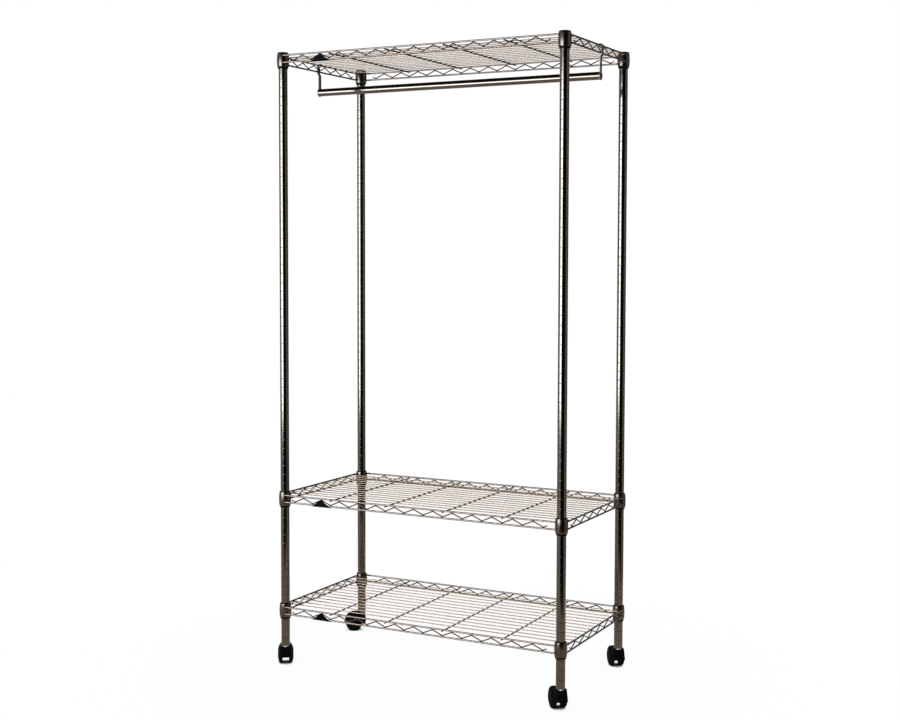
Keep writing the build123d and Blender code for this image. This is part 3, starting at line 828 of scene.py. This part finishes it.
def wheel_profile(c):
    """Section of a wheel: blind bore, inner face, tread with rounded edges, stepped and domed outer face."""
    tread, hub, face = c.wheel_diameter / 2, c.hub_radius, c.outer_face
    edge, fullness = 0.0015, 0.72
    ring_outside, ring_inside, ring_depth = 0.0205, 0.0183, 0.0005
    step_width, step_slope, step_depth = 0.0016, 0.0004, 0.0006
    dimple_rim, dimple_floor, dimple_depth, middle = 0.0022, 0.0018, 0.0004, 0.0003
    turn = np.linspace(-pi / 2, 0, 6)
    inner_edge = np.column_stack(
        [tread - edge + edge * np.cos(turn), c.inner_face + edge + edge * np.sin(turn)]
    )
    dome_middle = ((tread + hub) / 2, c.shoulder + fullness * (face - c.shoulder))
    dome = arc_through((tread, c.shoulder), dome_middle, (hub, face), 22)
    ring = (dome[:, 0] < ring_outside) & (dome[:, 0] > ring_inside)
    dome[ring, 1] -= ring_depth
    cap = [
        (hub, face),
        (hub - step_slope, face - step_depth),
        (hub - step_width + step_slope, face - step_depth),
        (hub - step_width, face),
        (dimple_rim, face),
        (dimple_floor, face - dimple_depth),
        (middle, face - dimple_depth),
    ]
    bore = [(middle, c.bore_end), (c.bore / 2, c.bore_end), (c.bore / 2, c.inner_face)]
    return np.vstack([bore, inner_edge, dome[:-1], cap])


class RACK_OT_wheels(bpy.types.Operator):
    """Paired wheels of the casters"""
    bl_idname = "clothes_rack.wheels"
    bl_label = "Wheels"

    def execute(self, context):
        profile = wheel_profile(context.scene.clothes_rack.casters)
        for corner in CORNERS:
            for side, way in (("left", 1.0), ("right", -1.0)):
                joint = joints[f"roll_{side}_{corner}"]
                axis = way * np.array(joint["axis"])
                wheel = turned(profile, np.array(joint["pos_m"]), axis, sides=72, closed=False)
                node = f"wheel_{side}_{corner}"
                add_piece(f"rolling_{node}", [wheel], finish_named("wheel"), node, [node])
        return {"FINISHED"}


class RACK_OT_hoods(bpy.types.Operator):
    """Hoods, stems and axles of the casters"""
    bl_idname = "clothes_rack.hoods"
    bl_label = "Caster Hoods"

    def execute(self, context):
        for corner in CORNERS:
            finish_nodes(finish_named("hood"), f"caster_hood_{corner}")
            finish_nodes(finish_named("steel"), f"caster_stem_{corner}", f"caster_axle_{corner}")
        return {"FINISHED"}


# Stage

WHITE = (1.0, 1.0, 1.0, 1.0)
BLACK = (0.0, 0.0, 0.0, 1.0)
MIRROR_TINT = (0.90, 0.98, 1.12, 1.0)
SCREEN_TURN = radians(8)
SCREEN_DARK = 0.015
BACK_SCREEN_DARK = 0.2
SOFTBOX_PLACE = (-1.53, -3.70, 1.25)
SOFTBOX_SIZE = (3.2, 1.90)
SOFTBOX_AIM_HEIGHT = 1.3
SOFTBOX_WATTS = 360
SOFTBOX_COLOUR = (0.77, 0.98, 1.32)


def empty_nodes(owner):
    """The emptied node tree of a material or world."""
    owner.use_nodes = True
    owner.node_tree.nodes.clear()
    return Nodes(owner.node_tree)


def add_floor(stage, sides=96):
    """Round pale floor that keeps the shadow near the rack, adds a painted contact shadow near the wheels,
    and runs out into white.
    """
    angle = np.linspace(0, tau, sides + 1)[:-1]
    rim = stage.floor_radius * np.column_stack([np.cos(angle), np.sin(angle), np.zeros(sides)])
    mesh = bpy.data.meshes.new("studio_floor")
    mesh.from_pydata(rim.tolist(), [], [list(range(sides))])
    floor = bpy.data.objects.new("studio_floor", mesh)
    bpy.context.scene.collection.objects.link(floor)
    material = bpy.data.materials.new("studio_floor_paint")
    tree = empty_nodes(material)
    # Painted contact shadow: an occlusion node darkens the floor close to the wheels, beyond its real shadow
    clear = tree.node("ShaderNodeAmbientOcclusion", {"Distance": stage.contact_reach}).outputs["AO"]
    clear = tree.spread(clear, 0.15, 0.6, 0.0, 1.0, "SMOOTHSTEP")
    paint = tree.node("ShaderNodeBsdfDiffuse", {"Color": tree.mix(clear, BLACK, (*stage.floor, 1.0))})
    glow = tree.node("ShaderNodeEmission", {"Strength": 1.0})
    place = tree.node("ShaderNodeTexCoord").outputs["Object"]
    far = tree.node("ShaderNodeVectorMath", {0: place}, operation="LENGTH").outputs["Value"]
    fade = tree.spread(far, 0.5, 0.9 * stage.floor_radius, 0.92, 1.0, "SMOOTHSTEP")
    path = tree.node("ShaderNodeLightPath").outputs
    seen = tree.math("MAXIMUM", path["Is Camera Ray"], path["Is Glossy Ray"])
    seen = tree.math("MAXIMUM", seen, path["Is Transmission Ray"])
    share = tree.math("MULTIPLY", tree.math("MULTIPLY", fade, seen), clear)
    mixed = tree.node("ShaderNodeMixShader", {0: share, 1: paint.outputs[0], 2: glow.outputs[0]})
    tree.node("ShaderNodeOutputMaterial", {"Surface": mixed.outputs[0]})
    mesh.materials.append(material)


def add_world(front, right):
    """White surroundings for the camera; mirrored rays also meet a dark ceiling and two dark screens."""
    world = bpy.data.worlds.new("studio_surroundings")
    bpy.context.scene.world = world
    tree = empty_nodes(world)
    place = tree.node("ShaderNodeTexCoord").outputs["Generated"]
    height = tree.node("ShaderNodeSeparateXYZ", {0: place}).outputs["Z"]
    flat = tree.node("ShaderNodeVectorMath", {0: place, 1: (1.0, 1.0, 0.0)}, operation="MULTIPLY").outputs[0]
    heading = tree.node("ShaderNodeVectorMath", {0: flat}, operation="NORMALIZE").outputs[0]

    def facing(direction):
        """1 where a ray heads in a direction, -1 where it heads away from it."""
        inputs = {0: heading, 1: direction}
        return tree.node("ShaderNodeVectorMath", inputs, operation="DOT_PRODUCT").outputs["Value"]

    def dimmed(value, start, end, dark=SCREEN_DARK):
        """From bright to dark as a value runs from start to end."""
        return tree.spread(value, start, end, 1.0, dark, "SMOOTHSTEP")

    front_screen = (front * cos(SCREEN_TURN) + right * sin(SCREEN_TURN)).normalized()
    back_screen = (right - front).normalized()
    mirrored = tree.spread(facing(-right), 0.1, 0.6, 0.8, 1.0, "SMOOTHSTEP")
    for dark_part in (
        dimmed(facing(front_screen), 0.66, 0.80),
        dimmed(height, 0.30, 0.55),
        dimmed(facing(back_screen), 0.84, 0.94, BACK_SCREEN_DARK),
    ):
        mirrored = tree.math("MULTIPLY", mirrored, dark_part)
    glossy = tree.node("ShaderNodeLightPath").outputs["Is Glossy Ray"]
    strength = tree.node("ShaderNodeMix", {0: glossy, 2: 1.0, 3: mirrored}).outputs[0]
    inputs = {"Color": tree.mix(glossy, WHITE, MIRROR_TINT), "Strength": strength}
    background = tree.node("ShaderNodeBackground", inputs)
    tree.node("ShaderNodeOutputWorld", {"Surface": background.outputs[0]})


def add_softbox(name, aim):
    """Rectangular studio lamp that faces a point and shows in mirrored rays only."""
    lamp = bpy.data.lights.new(name, "AREA")
    lamp.shape = "RECTANGLE"
    lamp.size, lamp.size_y = SOFTBOX_SIZE
    lamp.energy = SOFTBOX_WATTS
    lamp.color = SOFTBOX_COLOUR
    box = bpy.data.objects.new(name, lamp)
    box.visible_diffuse = False
    box.location = SOFTBOX_PLACE
    box.rotation_euler = (aim - Vector(SOFTBOX_PLACE)).to_track_quat("-Z", "Y").to_euler()
    bpy.context.scene.collection.objects.link(box)


class RACK_OT_stage(bpy.types.Operator):
    """Camera, pale floor, white surroundings and a soft studio lamp"""
    bl_idname = "clothes_rack.stage"
    bl_label = "Stage"

    def execute(self, context):
        stage = context.scene.clothes_rack.stage
        level = cos(stage.elevation)
        back = Vector((sin(stage.azimuth) * level, -cos(stage.azimuth) * level, sin(stage.elevation)))
        data = bpy.data.cameras.new("photo_camera")
        data.sensor_width = stage.sensor
        data.lens = stage.lens
        data.shift_y = stage.rise
        camera = bpy.data.objects.new("photo_camera", data)
        turn = (-back).to_track_quat("-Z", "Y").to_matrix().to_4x4() @ Matrix.Rotation(stage.roll, 4, "Z")
        camera.matrix_world = Matrix.Translation(Vector(stage.target) + back * stage.distance) @ turn
        context.scene.collection.objects.link(camera)
        context.scene.camera = camera
        context.scene.view_settings.view_transform = "Standard"
        front = Vector((back.x, back.y, 0.0)).normalized()
        right = Vector((-front.y, front.x, 0.0))
        add_floor(stage)
        add_world(front, right)
        add_softbox("softbox_left", Vector((*rack_middle, SOFTBOX_AIM_HEIGHT)))
        return {"FINISHED"}


# Add-on

OPERATORS = (
    RACK_OT_posts, RACK_OT_caps, RACK_OT_sleeves, RACK_OT_collars, RACK_OT_rails, RACK_OT_trusses,
    RACK_OT_deck_wires, RACK_OT_cross_wires, RACK_OT_name_plates, RACK_OT_hanging_rod, RACK_OT_wheels,
    RACK_OT_hoods, RACK_OT_stage,
)


class RACK_PT_sidebar(bpy.types.Panel):
    """Lists the rack's operators and sizes"""
    bl_idname = "RACK_PT_sidebar"
    bl_label = "Clothes Rack"
    bl_space_type = "VIEW_3D"
    bl_region_type = "UI"
    bl_category = "Clothes Rack"

    def draw(self, context):
        settings = context.scene.clothes_rack
        for operator in OPERATORS:
            self.layout.operator(operator.bl_idname)
        for group in ("posts", "shelves", "rod", "casters", "finishes", "stage"):
            box = self.layout.box()
            box.label(text=group.capitalize())
            values = getattr(settings, group)
            for key in values.bl_rna.properties.keys():
                if key not in {"name", "rna_type"}:
                    box.prop(values, key)


CLASSES = (
    RackPosts, RackShelves, RackRod, RackCasters, RackFinishes, RackStage, RackSettings,
    *OPERATORS, RACK_PT_sidebar,
)


def register():
    for cls in CLASSES:
        bpy.utils.register_class(cls)
    bpy.types.Scene.clothes_rack = PointerProperty(type=RackSettings)


def unregister():
    del bpy.types.Scene.clothes_rack
    for cls in reversed(CLASSES):
        bpy.utils.unregister_class(cls)


def main():
    register()
    bpy.ops.clothes_rack.posts()
    bpy.ops.clothes_rack.caps()
    bpy.ops.clothes_rack.sleeves()
    bpy.ops.clothes_rack.collars()
    bpy.ops.clothes_rack.rails()
    bpy.ops.clothes_rack.trusses()
    bpy.ops.clothes_rack.deck_wires()
    bpy.ops.clothes_rack.cross_wires()
    bpy.ops.clothes_rack.name_plates()
    bpy.ops.clothes_rack.hanging_rod()
    bpy.ops.clothes_rack.wheels()
    bpy.ops.clothes_rack.hoods()
    bpy.ops.clothes_rack.stage()


if __name__ == "__main__":
    main()
